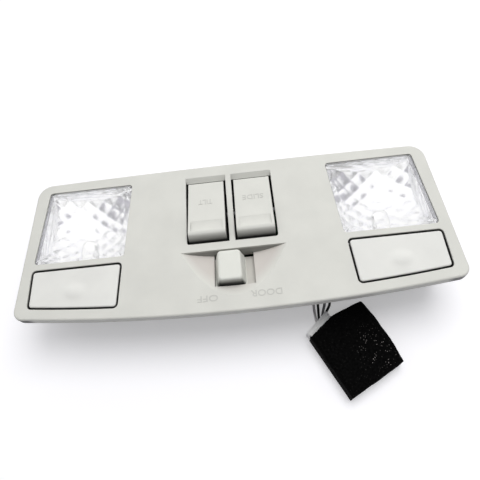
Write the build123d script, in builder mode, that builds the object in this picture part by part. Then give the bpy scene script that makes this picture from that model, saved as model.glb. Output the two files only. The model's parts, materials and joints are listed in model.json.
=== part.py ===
from build123d import *
from math import atan2, ceil, cos, pi, radians, sin, tan
import os

# Overhead map-light console of a car, lying on its back with its face up.
# Millimetres. X runs along the console, Y away from the driver, Z out of the face.
# The origin is under the middle of the bezel, on the surface that the back rests on.

# Heights
face_z = 38.0
plate_t = 2.5
rim_h = 4.6
pod_floor_z = 8.0

# Bezel outline: bowed long edges, ends that lean out towards the near side
bezel_far_half = 109.8
bezel_near_half = 114.0
bezel_half_depth = 43.7
far_bow = 1.4
near_bow = 6.6
far_corner_r = 8.5
near_corner_r = 5.5
edge_roll = 1.2
bezel_wall = 2.0
opening_edge_r = 0.4

# Lens windows
window_far_margin = 7.2
window_far_length = 47.75
window_near_length = 48.5
window_far_end_margin = 7.5
window_near_end_margin = 6.1
window_corner_r = 1.8

# Lenses
lens_flange = 1.5
lens_flange_t = 1.5
lens_gap = 0.15
lens_recess = 0.8
lens_bevel = 1.1

# Reflectors: a bowl of flat diamond facets that touch a paraboloid
reflector_wall = 1.0
reflector_flange_t = 1.5
bowl_depth = 19.0
facet_long = 9.8
facet_short = 7.3
bowl_rise_x = 0.0125
ear_width = 6.5
ear_length = 16.0

# Bulbs and sockets
bulb_drop = 12.0
bulb_notch = 4.0
bulb_glass_r = 4.5
bulb_glass_length = 15.0
bulb_tip_r = 4.0
bulb_base_length = 6.0
bulb_base_width = 8.0
bulb_base_t = 2.4
socket_neck_r = 5.4
socket_neck_length = 2.0
socket_flange_r = 6.3
socket_flange_t = 1.5
socket_body_r = 4.6
socket_body_length = 8.0
slip = 0.1

# Push buttons
window_button_bridge = 3.45
button_end_margin = 5.65
button_near_margin = 7.55
button_far_length = 48.45
button_near_length = 47.15
button_outer_depth = 20.95
button_inner_depth = 25.0
button_near_bow = 0.35
button_corner_r = 2.5
button_gap = 1.0
button_edge_r = 0.8
button_wall = 1.5
button_top_t = 2.0
button_height = 7.0
button_axis_inset = 2.25
button_axis_drop = 5.4
button_pin_r = 1.2
pin_clearance = 0.05
lug_t = 2.0
lug_r = 2.6
lug_gap = 0.4
bump_reach = 6.2
bump_height = 0.9
bump_stretch = 1.3
bump_sink = 0.5
bump_step = 0.02

# Push switches under the buttons
plunger_inset = 13.1
plunger_r = 2.0
plunger_head_r = 2.8
plunger_head_t = 1.2
plunger_reach = 6.5
plunger_gap = 0.1
plunger_spare = 2.0
nose_r = 1.4
nose_length = 4.0
nose_drop = 8.0
switch_length = 12.0
switch_width = 7.4
switch_height = 11.0
switch_bevel = 0.5

# Rocker well
well_far_margin = 9.65
well_half = 24.0
well_corner_r = 1.2
well_lip_t = 1.2
well_undercut = 0.9
well_wall = 1.8
slope_run = 2.4
slope_drop = 2.3
bar_half = 1.6

# Rockers
rocker_gap = 1.05
rocker_far_gap = 0.85
rocker_far_drop = 1.1
rocker_lip_rise = 4.6
rocker_lip_setback = 3.2
rocker_nose_out = 0.8
rocker_nose_up = 0.4
rocker_shoulder_drop = 2.0
rocker_sag = 0.45
rocker_lip_r = 2.6
rocker_far_r = 0.8
rocker_edge_r = 0.6
rocker_wall = 1.8
dish_setback = 8.9
dish_r = 7.5
dish_depth = 0.9
dish_border = 1.7
rocker_axis_setback = 18.05
rocker_axis_drop = 10.0
shaft_r = 1.5
ear_r = 4.0
lever_reach = 14.0
lever_r = 1.5
lever_t = 4.0

# Rocker switch
carriage_length = 11.0
carriage_width = 7.6
carriage_height = 6.4
carriage_slot_gap = 0.3
carriage_travel = 1.3
channel_gap = 0.2
channel_wall = 3.0
channel_floor = 3.0

# Scoop and slide switch
ridge_width = 4.65
scoop_depth = 6.0
scoop_run = 24.0
scoop_near_margin = 9.7
scoop_r = 65.0
scoop_wall = 2.0
slot_length = 20.7
slot_centre_x = -0.2
slot_far_inset = 1.0
slot_width = 19.0
slide_travel = 4.4
knob_length = 15.0
knob_width = 17.2
knob_top_length = 11.4
knob_top_width = 16.1
knob_rise = 4.6
knob_end_gap = 0.85
knob_near_gap = 0.6
knob_corner_r = 2.0
knob_edge_r = 1.4
shutter_t = 1.2
shutter_gap = 0.3
shutter_overlap = 7.0
post_side = 5.0
contact_t = 0.6
contact_foot_r = 1.0
contact_length = 9.0
contact_width = 3.0
slide_base_height = 6.0

# Rear housing
housing_inset = 1.7
housing_wall = 1.5
housing_near_rise = 6.2
housing_corner_r = 13.0
deep_half = 30.0
deep_far_margin = 10.7
deep_near_margin = 13.7
deep_corner_r = 3.0

# Circuit board
board_gap = 1.0
board_t = 1.6
standoff_h = 2.5
standoff_r = 2.5
standoff_inset = 4.0

# Screws and the roof fixing
far_screw_gap = 8.8
far_screw_inset = 8.5
near_screw_gap = 6.5
near_screw_inset = 9.65
boss_r = 4.0
boss_split_drop = 14.0
screw_r = 1.5
screw_head_r = 3.0
screw_head_t = 2.4
screw_slot_w = 0.8
screw_pocket_depth = 3.0
screw_length = 24.0
thread_gap = 0.02
roof_screw_gap = 7.15
roof_screw_inset = 5.2
roof_hole_r = 2.25
roof_boss_r = 4.5
roof_boss_h = 6.0
roof_access_r = 4.5

# Bus bars
bar_width = 4.0
bar_t = 0.6

# Wires, grommet, connector and foam
wire_r = 0.75
bend_share = 0.45
grommet_lip = 1.0
grommet_height = 5.0
connector_width = 15.6
connector_height = 6.6
connector_length = 18.0
connector_rim = 0.5
connector_rim_length = 2.4
connector_z = 4.6
connector_face = (39.9, -44.9)
connector_heading = (0.68, -0.733)
foam_height = 9.8
foam_edge_r = 2.0
foam_bulge = 1.2
foam_slack = 0.2
foam_corners = [(35.0, -52.6), (47.8, -42.2), (65.8, -35.2), (81.2, -69.6), (51.7, -85.5)]

# The wires' routes, from inside the grommet to the connector
wire_routes = {
    "white_wire": [
        (28.4, -14.0, 5.3), (33.4, -14.1, 5.2), (38.2, -16.0, 4.6), (40.9, -21.0, 3.6),
        (41.2, -28.0, 3.0), (40.3, -35.0, 3.1), (40.2, -40.4, 4.1), (40.6, -45.1, 5.3),
    ],
    "black_wire_one": [
        (28.4, -11.8, 3.2), (33.8, -11.9, 3.1), (39.6, -13.8, 2.3), (43.1, -19.8, 1.3),
        (43.5, -27.6, 0.95), (42.5, -34.6, 1.0), (42.0, -39.4, 1.9), (42.2, -43.6, 3.2),
    ],
    "grey_wire": [
        (28.4, -9.6, 5.3), (34.2, -9.7, 5.2), (41.0, -11.6, 4.5), (45.3, -18.5, 3.5),
        (45.8, -27.2, 2.9), (44.6, -34.2, 3.0), (43.7, -38.6, 4.0), (43.7, -42.2, 5.3),
    ],
    "black_wire_two": [
        (28.4, -7.4, 3.2), (34.6, -7.5, 3.1), (42.4, -9.4, 2.3), (47.5, -17.2, 1.3),
        (48.1, -26.8, 0.95), (46.8, -33.8, 1.0), (45.6, -37.8, 1.9), (45.1, -40.7, 3.2),
    ],
}

# Places worked out from the sizes above
plate_z = face_z - plate_t
rim_z = face_z - rim_h
far_corner_y = bezel_half_depth - far_bow
near_corner_y = near_bow - bezel_half_depth


def end_x(y):
    """Half-width of the bezel at its straight end edge."""
    share = (far_corner_y - y) / (far_corner_y - near_corner_y)
    return bezel_far_half + share * (bezel_near_half - bezel_far_half)


window_far_y = bezel_half_depth - window_far_margin
button_inner_near_y = button_near_margin - bezel_half_depth
button_far_y = button_inner_near_y + button_inner_depth
window_near_y = button_far_y + window_button_bridge
window_depth = window_far_y - window_near_y
window_far_outer_x = end_x(window_far_y) - window_far_end_margin
window_near_outer_x = end_x(window_near_y) - window_near_end_margin
window_far_inner_x = window_far_outer_x - window_far_length
window_near_inner_x = window_near_outer_x - window_near_length
window_middle_y = (window_far_y + window_near_y) / 2
window_middle_inner_x = (window_far_inner_x + window_near_inner_x) / 2

lens_flange_z = plate_z - lens_flange_t
reflector_flange_z = lens_flange_z - reflector_flange_t
bowl_x = (window_far_inner_x + window_near_outer_x) / 2
bowl_y = window_middle_y
bowl_z = reflector_flange_z - bowl_depth
bowl_rise_y = bowl_rise_x * (facet_long / facet_short) ** 2
bulb_z = face_z - bulb_drop
reflector_near_y = window_near_y - reflector_wall

button_outer_x = end_x(button_far_y) - button_end_margin
button_far_inner_x = button_outer_x - button_far_length
button_near_inner_x = button_outer_x - button_near_length
button_outer_near_y = button_far_y - button_outer_depth
button_axis_y = button_far_y - button_axis_inset
button_axis_z = face_z - button_axis_drop
button_skirt_z = face_z - button_height
button_middle_x = (button_far_inner_x + button_outer_x) / 2
lug_inner_x = button_far_inner_x - lug_gap - lug_t
lug_outer_x = button_outer_x + lug_gap
lug_notch = rim_z - button_axis_z + lug_r + lug_gap

plunger_x = button_middle_x
plunger_y = button_axis_y - plunger_inset
nose_z = face_z - nose_drop
pod_top_z = pod_floor_z + housing_wall
switch_top_z = pod_top_z + switch_height

ridge_y = scoop_near_margin + scoop_run - bezel_half_depth
well_far_y = bezel_half_depth - well_far_margin
well_near_y = ridge_y + ridge_width
well_length = well_far_y - well_near_y
well_middle_y = (well_far_y + well_near_y) / 2
pocket_half = well_half + well_undercut
pocket_inner_x = bar_half - well_undercut
pocket_near_y = well_near_y - well_undercut
pocket_length = well_far_y - pocket_near_y
pocket_middle_y = (well_far_y + pocket_near_y) / 2
shaft_half = pocket_half + well_wall
rocker_inner_x = bar_half + rocker_gap
rocker_width = well_half - bar_half - 2 * rocker_gap
rocker_middle_x = rocker_inner_x + rocker_width / 2
rocker_far_y = well_far_y - rocker_far_gap
rocker_near_y = well_near_y + rocker_gap
rocker_axis_y = well_far_y - rocker_axis_setback
rocker_axis_z = face_z - rocker_axis_drop
rocker_skirt_z = rocker_axis_z + shaft_r
well_floor_z = rocker_axis_z - ear_r
lever_tip_z = rocker_axis_z - lever_reach

board_z = housing_wall + standoff_h
board_top_z = board_z + board_t
carriage_z = board_top_z + channel_floor
carriage_top_z = carriage_z + carriage_height

scoop_tilt = atan2(scoop_depth, scoop_run)
scoop_foot_y = ridge_y - scoop_depth * tan(scoop_tilt)
scoop_length = scoop_run / cos(scoop_tilt) + scoop_wall
scoop_plane = Plane(
    origin=(0, scoop_foot_y, face_z - scoop_depth),
    x_dir=(1, 0, 0),
    z_dir=(0, -cos(scoop_tilt), sin(scoop_tilt)),
)
slot_far_y = ridge_y - slot_far_inset
slot_near_y = slot_far_y - slot_width
slot_middle_y = (slot_far_y + slot_near_y) / 2
knob_x = slot_centre_x - slot_length / 2 + knob_end_gap + knob_length / 2
knob_y = slot_near_y + knob_near_gap + knob_width / 2
knob_top_z = face_z + knob_rise
knob_shoulder_z = face_z - scoop_depth / 2
knob_foot_z = face_z - scoop_depth - scoop_wall - shutter_gap - shutter_t
slide_base_z = board_top_z
slide_floor_z = slide_base_z + channel_floor
contact_z = slide_floor_z + slip + contact_foot_r
post_z = contact_z + contact_t

boss_split_z = face_z - boss_split_drop
far_screw = (window_far_inner_x - far_screw_gap, window_far_y - far_screw_inset)
near_screw = (button_far_inner_x - near_screw_gap, button_inner_near_y + near_screw_inset)
roof_screw = (window_near_inner_x + roof_screw_gap, window_near_y + roof_screw_inset)
connector_angle = atan2(connector_heading[1], connector_heading[0])
connector_plane = Plane(
    origin=(*connector_face, connector_z),
    x_dir=(-sin(connector_angle), cos(connector_angle), 0),
    z_dir=(cos(connector_angle), sin(connector_angle), 0),
)
wire_exits = [route[0] for route in wire_routes.values()]
grommet_y = sum(y for _, y, _ in wire_exits) / len(wire_exits)
grommet_z = sum(z for _, _, z in wire_exits) / len(wire_exits)
grommet_length = max(y for _, y, _ in wire_exits) - min(y for _, y, _ in wire_exits) + 4 * wire_r
os.makedirs("parts", exist_ok=True)

# Outlines that several pieces share


def console_outline(near_rise, near_r):
    """The bezel's outline, with its near side drawn in by a rise."""
    near_y = near_corner_y + near_rise
    near_half = end_x(near_y)
    with BuildSketch() as face:
        with BuildLine():
            ThreePointArc(
                (-bezel_far_half, far_corner_y), (0, bezel_half_depth), (bezel_far_half, far_corner_y)
            )
            Line((bezel_far_half, far_corner_y), (near_half, near_y))
            ThreePointArc((near_half, near_y), (0, near_rise - bezel_half_depth), (-near_half, near_y))
            Line((-near_half, near_y), (-bezel_far_half, far_corner_y))
        make_face()
        fillet(face.vertices().group_by(Axis.Y)[-1], far_corner_r)
        fillet(face.vertices().group_by(Axis.Y)[0], near_r)
    return face.sketch


bezel_outline = console_outline(0, near_corner_r)
foot_outline = console_outline(housing_near_rise, housing_corner_r)

with BuildSketch() as window_face:
    with BuildLine():
        Polyline(
            (window_far_inner_x, window_far_y),
            (window_far_outer_x, window_far_y),
            (window_near_outer_x, window_near_y),
            (window_near_inner_x, window_near_y),
            close=True,
        )
    make_face()
    fillet(window_face.vertices(), window_corner_r)

with BuildSketch() as button_face:
    with BuildLine():
        Polyline(
            (button_near_inner_x, button_inner_near_y),
            (button_far_inner_x, button_far_y),
            (button_outer_x, button_far_y),
            (button_outer_x, button_outer_near_y),
        )
        ThreePointArc(
            (button_outer_x, button_outer_near_y),
            (
                (button_outer_x + button_near_inner_x) / 2,
                (button_outer_near_y + button_inner_near_y) / 2 - button_near_bow,
            ),
            (button_near_inner_x, button_inner_near_y),
        )
    make_face()
    fillet(button_face.vertices(), button_corner_r)

with BuildSketch() as well_face:
    with Locations(((bar_half + well_half) / 2, well_middle_y)):
        Rectangle(well_half - bar_half, well_length)
    fillet(well_face.vertices().group_by(Axis.X)[-1].sort_by(Axis.Y)[0], well_corner_r)

with BuildSketch() as pocket_face:
    with Locations(((pocket_inner_x + pocket_half) / 2, pocket_middle_y)):
        Rectangle(pocket_half - pocket_inner_x, pocket_length)

# Bezel

with BuildPart() as scoop_pan:
    with BuildSketch(scoop_plane.offset(-scoop_wall)):
        with Locations((0, scoop_r)):
            Circle(scoop_r + scoop_wall)
    extrude(amount=scoop_length + scoop_wall)
    split(bisect_by=Plane.XY.offset(plate_z), keep=Keep.BOTTOM)

with BuildPart() as right_fittings:
    for lug_x in (lug_inner_x, lug_outer_x):
        with BuildSketch(Plane.YZ.offset(lug_x)):
            with Locations((button_axis_y, button_axis_z)):
                Circle(lug_r)
                Rectangle(2 * lug_r, plate_z - button_axis_z, align=(Align.CENTER, Align.MIN))
                Circle(button_pin_r + pin_clearance, mode=Mode.SUBTRACT)
        extrude(amount=lug_t)
    with BuildSketch(Plane.XY.offset(boss_split_z)):
        with Locations(far_screw, near_screw):
            Circle(boss_r)
            Circle(screw_r + thread_gap, mode=Mode.SUBTRACT)
    extrude(amount=plate_z - boss_split_z)

with BuildPart() as right_slope:
    with BuildSketch(Plane.YZ.offset(bar_half)):
        with BuildLine():
            Polyline(
                (well_far_y, face_z),
                (well_far_y + slope_run, face_z),
                (well_far_y, face_z - slope_drop),
                close=True,
            )
        make_face()
    extrude(amount=well_half - bar_half)

with BuildPart() as bezel:
    with BuildSketch(Plane.XY.offset(rim_z)):
        add(bezel_outline)
    extrude(amount=rim_h)
    fillet(bezel.faces().sort_by(Axis.Z)[-1].edges(), edge_roll)
    with BuildSketch(Plane.XY.offset(rim_z)):
        offset(bezel_outline, -bezel_wall)
    extrude(amount=rim_h - plate_t, mode=Mode.SUBTRACT)
    with BuildSketch(Plane.XY.offset(well_floor_z)):
        with Locations((0, pocket_middle_y)):
            RectangleRounded(2 * shaft_half, pocket_length + 2 * well_wall, well_wall)
    extrude(amount=plate_z - well_floor_z)
    add(scoop_pan.part)
    add(right_fittings.part)
    mirror(right_fittings.part, about=Plane.YZ)
    with BuildSketch(Plane.XY.offset(face_z)):
        add(window_face.sketch)
        add(button_face.sketch)
        mirror(about=Plane.YZ)
    extrude(amount=-plate_t, mode=Mode.SUBTRACT)
    with BuildSketch(Plane.XY.offset(face_z)):
        add(well_face.sketch)
        mirror(about=Plane.YZ)
    extrude(amount=well_floor_z - face_z, mode=Mode.SUBTRACT)
    add(right_slope.part, mode=Mode.SUBTRACT)
    mirror(right_slope.part, about=Plane.YZ, mode=Mode.SUBTRACT)
    with BuildSketch(Plane.XY.offset(face_z - well_lip_t)):
        add(pocket_face.sketch)
        mirror(about=Plane.YZ)
    extrude(amount=well_floor_z + well_lip_t - face_z, mode=Mode.SUBTRACT)
    front = bezel.faces().filter_by(Plane.XY).sort_by(Axis.Z)[-1]
    fillet(front.inner_wires().edges(), opening_edge_r)
    with BuildSketch(scoop_plane):
        with Locations((0, scoop_r)):
            Circle(scoop_r)
    extrude(amount=scoop_length, mode=Mode.SUBTRACT)
    with BuildSketch(Plane.XY.offset(face_z)):
        with Locations((slot_centre_x, slot_middle_y)):
            Rectangle(slot_length, slot_width)
    extrude(amount=-scoop_depth - 2 * scoop_wall, mode=Mode.SUBTRACT)
    with BuildSketch(Plane.YZ):
        with Locations((rocker_axis_y, rocker_axis_z)):
            Circle(shaft_r)
    extrude(amount=shaft_half, both=True, mode=Mode.SUBTRACT)

bezel.part.label = "bezel"
export_step(bezel.part, "parts/bezel.step")

# Lenses

with BuildPart() as right_lens:
    with BuildSketch(Plane.XY.offset(lens_flange_z)):
        offset(window_face.sketch, lens_flange)
    extrude(amount=lens_flange_t)
    with BuildSketch(Plane.XY.offset(plate_z)):
        offset(window_face.sketch, -lens_gap)
    extrude(amount=plate_t - lens_recess)
    chamfer(right_lens.faces().sort_by(Axis.Z)[-1].edges(), lens_bevel)

with BuildPart() as left_lens:
    mirror(right_lens.part, about=Plane.YZ)

right_lens.part.label = "right_lens"
left_lens.part.label = "left_lens"
export_step(right_lens.part, "parts/right_lens.step")
export_step(left_lens.part, "parts/left_lens.step")

# Reflectors


def facet_centres():
    """Staggered grid of points, one under each diamond facet, that covers the window."""
    columns = ceil(window_near_length / facet_long)
    rows = ceil(window_depth / facet_short)
    for column in range(-columns, columns + 1):
        for row in range(-rows, rows + 1):
            if (column + row) % 2 == 0:
                yield bowl_x + column * facet_long / 2, bowl_y + row * facet_short / 2


def facet_plane(x, y, depth):
    """Plane that touches the paraboloid over a point, sunk by a depth."""
    across = x - bowl_x
    along = y - bowl_y
    height = bowl_z + bowl_rise_x * across**2 + bowl_rise_y * along**2
    normal = Vector(-2 * bowl_rise_x * across, -2 * bowl_rise_y * along, 1).normalized()
    return Plane(origin=Vector(x, y, height) - normal * depth, z_dir=normal)


with BuildPart() as right_cavity:
    with BuildSketch(Plane.XY.offset(bowl_z)):
        add(window_face.sketch)
    extrude(amount=lens_flange_z - bowl_z)
    for centre in facet_centres():
        split(bisect_by=facet_plane(*centre, 0), keep=Keep.TOP)

with BuildPart() as right_reflector:
    with BuildSketch(Plane.XY.offset(bowl_z - reflector_wall)):
        offset(window_face.sketch, reflector_wall)
    extrude(amount=bowl_depth + reflector_wall)
    for centre in facet_centres():
        split(bisect_by=facet_plane(*centre, reflector_wall), keep=Keep.TOP)
    with BuildSketch(Plane.XY.offset(reflector_flange_z)):
        offset(window_face.sketch, lens_flange)
        with Locations((window_middle_inner_x, window_middle_y)):
            Rectangle(2 * (lens_flange + ear_width), ear_length)
    extrude(amount=reflector_flange_t)
    add(right_cavity.part, mode=Mode.SUBTRACT)
    with BuildSketch(Plane.XZ.offset(-reflector_near_y)):
        with Locations((bowl_x, bulb_z)):
            Circle(socket_neck_r + slip)
    extrude(amount=-socket_neck_length - bulb_glass_length - bulb_notch, mode=Mode.SUBTRACT)
    with BuildSketch(Plane.XY.offset(bowl_z - reflector_wall)):
        with Locations(roof_screw):
            Circle(roof_access_r)
    extrude(amount=bowl_depth, mode=Mode.SUBTRACT)

with BuildPart() as left_reflector:
    mirror(right_reflector.part, about=Plane.YZ)

right_reflector.part.label = "right_reflector"
left_reflector.part.label = "left_reflector"
export_step(right_reflector.part, "parts/right_reflector.step")
export_step(left_reflector.part, "parts/left_reflector.step")

# Bulbs and sockets

socket_plane = Plane(origin=(bowl_x, reflector_near_y, bulb_z), x_dir=(1, 0, 0), z_dir=(0, 1, 0))
bulb_start = socket_neck_length

with BuildPart() as right_bulb:
    with BuildSketch(socket_plane.offset(bulb_start)):
        Circle(bulb_glass_r)
    extrude(amount=bulb_glass_length)
    fillet(right_bulb.faces().sort_by(Axis.Y)[-1].edges(), bulb_tip_r)
    with BuildSketch(socket_plane.offset(bulb_start)):
        Rectangle(bulb_base_width, bulb_base_t)
    extrude(amount=-bulb_base_length)

with BuildPart() as right_bulb_socket:
    with BuildSketch(socket_plane):
        Circle(socket_neck_r)
    extrude(amount=socket_neck_length)
    with BuildSketch(socket_plane):
        Circle(socket_flange_r)
    extrude(amount=-socket_flange_t)
    with BuildSketch(socket_plane.offset(-socket_flange_t)):
        Circle(socket_body_r)
    extrude(amount=-socket_body_length)
    with BuildSketch(socket_plane.offset(socket_neck_length)):
        Rectangle(bulb_base_width + 2 * slip, bulb_base_t + 2 * slip)
    extrude(amount=-bulb_base_length - slip, mode=Mode.SUBTRACT)

with BuildPart() as left_bulb:
    mirror(right_bulb.part, about=Plane.YZ)

with BuildPart() as left_bulb_socket:
    mirror(right_bulb_socket.part, about=Plane.YZ)

right_bulb.part.label = "right_bulb"
left_bulb.part.label = "left_bulb"
right_bulb_socket.part.label = "right_bulb_socket"
left_bulb_socket.part.label = "left_bulb_socket"
export_step(right_bulb.part, "parts/right_bulb.step")
export_step(left_bulb.part, "parts/left_bulb.step")
export_step(right_bulb_socket.part, "parts/right_bulb_socket.step")
export_step(left_bulb_socket.part, "parts/left_bulb_socket.step")

# Push buttons

with BuildPart() as bump:
    with BuildSketch(Plane.XZ):
        with BuildLine():
            crown = TangentArc((0, bump_height), (bump_reach / 2, bump_height / 2), tangent=(1, 0))
            skirt = TangentArc(crown @ 1, (bump_reach, bump_step), tangent=crown % 1)
            Polyline(skirt @ 1, (bump_reach, -bump_sink), (0, -bump_sink), (0, bump_height))
        make_face()
    revolve(axis=Axis.Z)
    scale(by=(bump_stretch, 1, 1))

with BuildPart() as right_button:
    with BuildSketch(Plane.XY.offset(button_skirt_z)):
        offset(button_face.sketch, -button_gap)
    extrude(amount=button_height)
    fillet(right_button.faces().sort_by(Axis.Z)[-1].edges(), button_edge_r)
    with BuildSketch(Plane.XY.offset(button_skirt_z)):
        offset(button_face.sketch, -button_gap - button_wall)
    extrude(amount=button_height - button_top_t, mode=Mode.SUBTRACT)
    with BuildSketch(Plane.YZ.offset(plunger_x - nose_length / 2)):
        with Locations((plunger_y, nose_z + nose_r)):
            Circle(nose_r)
            Rectangle(2 * nose_r, nose_drop - nose_r - button_top_t / 2, align=(Align.CENTER, Align.MIN))
    extrude(amount=nose_length)
    for pin_x, wall_x in (
        (lug_inner_x, button_far_inner_x + button_gap + button_wall),
        (button_outer_x - button_gap - button_wall, lug_outer_x + lug_t),
    ):
        with BuildSketch(Plane.YZ.offset(pin_x)):
            with Locations((button_axis_y, button_axis_z)):
                Circle(button_pin_r)
        extrude(amount=wall_x - pin_x)
    with Locations((plunger_x, plunger_y + nose_r, face_z)):
        add(bump.part)

with BuildPart() as left_button:
    mirror(right_button.part, about=Plane.YZ)

right_button.part.label = "right_button"
left_button.part.label = "left_button"
export_step(right_button.part, "parts/right_button.step")
export_step(left_button.part, "parts/left_button.step")

# Push switches

plunger_top_z = nose_z - plunger_gap
plunger_bottom_z = switch_top_z - plunger_reach

with BuildPart() as right_plunger:
    with BuildSketch(Plane.XY.offset(plunger_bottom_z)):
        with Locations((plunger_x, plunger_y)):
            Circle(plunger_r)
    extrude(amount=plunger_top_z - plunger_bottom_z)
    with BuildSketch(Plane.XY.offset(plunger_top_z)):
        with Locations((plunger_x, plunger_y)):
            Circle(plunger_head_r)
    extrude(amount=-plunger_head_t)

with BuildPart() as right_switch_body:
    with BuildSketch(Plane.XY.offset(pod_top_z)):
        with Locations((plunger_x, plunger_y)):
            Rectangle(switch_length, switch_width)
    extrude(amount=switch_height)
    chamfer(right_switch_body.faces().sort_by(Axis.Z)[-1].edges(), switch_bevel)
    with BuildSketch(Plane.XY.offset(switch_top_z)):
        with Locations((plunger_x, plunger_y)):
            Circle(plunger_r + pin_clearance)
    extrude(amount=-plunger_reach - plunger_spare, mode=Mode.SUBTRACT)

with BuildPart() as left_plunger:
    mirror(right_plunger.part, about=Plane.YZ)

with BuildPart() as left_switch_body:
    mirror(right_switch_body.part, about=Plane.YZ)

right_plunger.part.label = "right_plunger"
left_plunger.part.label = "left_plunger"
right_switch_body.part.label = "right_switch_body"
left_switch_body.part.label = "left_switch_body"
export_step(right_plunger.part, "parts/right_plunger.step")
export_step(left_plunger.part, "parts/left_plunger.step")
export_step(right_switch_body.part, "parts/right_switch_body.step")
export_step(left_switch_body.part, "parts/left_switch_body.step")

# Rockers

rocker_far_top = Vector(rocker_far_y, face_z - rocker_far_drop)
rocker_lip = Vector(rocker_near_y + rocker_lip_setback, face_z + rocker_lip_rise)
rocker_shoulder = Vector(rocker_near_y, face_z - rocker_shoulder_drop)
rocker_middle = (rocker_far_top + rocker_lip) * 0.5 - Vector(0, rocker_sag)
rocker_slope = (rocker_lip.Y - rocker_far_top.Y) / (rocker_far_top.X - rocker_lip.X)
rocker_nose = (rocker_lip + rocker_shoulder) * 0.5 + Vector(-rocker_nose_out, rocker_nose_up)
dish_y = rocker_near_y + dish_setback
dish_z = rocker_lip.Y - (dish_y - rocker_lip.X) * rocker_slope - dish_depth + dish_r
rocker_axis_top_z = rocker_lip.Y - (rocker_axis_y - rocker_lip.X) * rocker_slope - rocker_sag
lever_rise = rocker_axis_top_z - rocker_wall / 2 - rocker_axis_z

with BuildSketch(Plane.YZ) as rocker_profile:
    with BuildLine():
        ThreePointArc(rocker_far_top, rocker_middle, rocker_lip)
        ThreePointArc(rocker_lip, rocker_nose, rocker_shoulder)
        Polyline(
            rocker_shoulder,
            (rocker_near_y, rocker_skirt_z),
            (rocker_far_y, rocker_skirt_z),
            rocker_far_top,
        )
    make_face()

with BuildPart() as slide_rocker:
    with BuildSketch(Plane.YZ.offset(rocker_inner_x)):
        add(rocker_profile.sketch_local)
    extrude(amount=rocker_width)
    lip_edge = slide_rocker.edges().filter_by(Axis.X).sort_by(Axis.Z)[-1]
    fillet(lip_edge, rocker_lip_r)
    far_edge = slide_rocker.edges().filter_by(Axis.X).group_by(Axis.Y)[-1].sort_by(Axis.Z)[-1]
    fillet(far_edge, rocker_far_r)
    rims = slide_rocker.edges().filter_by(GeomType.LINE, reverse=True)
    fillet(rims, rocker_edge_r)
    with BuildSketch(Plane.YZ.offset(rocker_inner_x + rocker_wall)):
        offset(rocker_profile.sketch_local, -rocker_wall)
        with Locations(((rocker_far_y + rocker_near_y) / 2, rocker_skirt_z)):
            Rectangle(
                rocker_far_y - rocker_near_y - 2 * rocker_wall,
                rocker_wall + rocker_edge_r,
                align=(Align.CENTER, Align.MIN),
            )
    extrude(amount=rocker_width - 2 * rocker_wall, mode=Mode.SUBTRACT)
    with BuildSketch(Plane.YZ.offset(rocker_inner_x + dish_border)):
        with Locations((dish_y, dish_z)):
            Circle(dish_r)
    extrude(amount=rocker_width - 2 * dish_border, mode=Mode.SUBTRACT)
    for ear_x in (rocker_inner_x, rocker_inner_x + rocker_width - rocker_wall):
        with BuildSketch(Plane.YZ.offset(ear_x)):
            with Locations((rocker_axis_y, rocker_axis_z)):
                Circle(ear_r)
                Rectangle(2 * ear_r, ear_r, align=(Align.CENTER, Align.MIN))
        extrude(amount=rocker_wall)
    with BuildSketch(Plane.YZ.offset(rocker_middle_x - lever_t / 2)):
        with Locations((rocker_axis_y, rocker_axis_z)):
            Circle(ear_r)
            Rectangle(2 * ear_r, lever_rise, align=(Align.CENTER, Align.MIN))
            Rectangle(2 * lever_r, lever_reach, align=(Align.CENTER, Align.MAX))
        with Locations((rocker_axis_y, lever_tip_z)):
            Circle(lever_r)
    extrude(amount=lever_t)
    with BuildSketch(Plane.YZ):
        with Locations((rocker_axis_y, rocker_axis_z)):
            Circle(shaft_r + pin_clearance)
    extrude(amount=well_half, mode=Mode.SUBTRACT)

with BuildPart() as tilt_rocker:
    mirror(slide_rocker.part, about=Plane.YZ)

slide_rocker.part.label = "slide_rocker"
tilt_rocker.part.label = "tilt_rocker"
export_step(slide_rocker.part, "parts/slide_rocker.step")
export_step(tilt_rocker.part, "parts/tilt_rocker.step")

with BuildPart() as rocker_shaft:
    with BuildSketch(Plane.YZ):
        with Locations((rocker_axis_y, rocker_axis_z)):
            Circle(shaft_r)
    extrude(amount=shaft_half, both=True)

rocker_shaft.part.label = "rocker_shaft"
export_step(rocker_shaft.part, "parts/rocker_shaft.step")

# Rocker switch

channel_length = carriage_length + 2 * carriage_travel + 2 * channel_gap
channel_width = carriage_width + 2 * channel_gap

with BuildPart() as slide_contact_carriage:
    with BuildSketch(Plane.XY.offset(carriage_z)):
        with Locations((rocker_middle_x, rocker_axis_y)):
            Rectangle(carriage_width, carriage_length)
    extrude(amount=carriage_height)
    with BuildSketch(Plane.XY.offset(carriage_top_z)):
        with Locations((rocker_middle_x, rocker_axis_y)):
            Rectangle(lever_t + 2 * carriage_slot_gap, 2 * (lever_r + carriage_slot_gap))
    slot_floor_z = lever_tip_z - lever_r - carriage_slot_gap
    extrude(amount=slot_floor_z - carriage_top_z, mode=Mode.SUBTRACT)

with BuildPart() as tilt_contact_carriage:
    mirror(slide_contact_carriage.part, about=Plane.YZ)

with BuildPart() as rocker_switch_base:
    with BuildSketch(Plane.XY.offset(board_top_z)):
        with Locations((0, rocker_axis_y)):
            Rectangle(
                2 * rocker_middle_x + channel_width + 2 * channel_wall, channel_length + 2 * channel_wall
            )
    extrude(amount=channel_floor + carriage_height)
    with BuildSketch(Plane.XY.offset(carriage_top_z)):
        with Locations((-rocker_middle_x, rocker_axis_y), (rocker_middle_x, rocker_axis_y)):
            Rectangle(channel_width, channel_length)
    extrude(amount=-carriage_height, mode=Mode.SUBTRACT)

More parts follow.
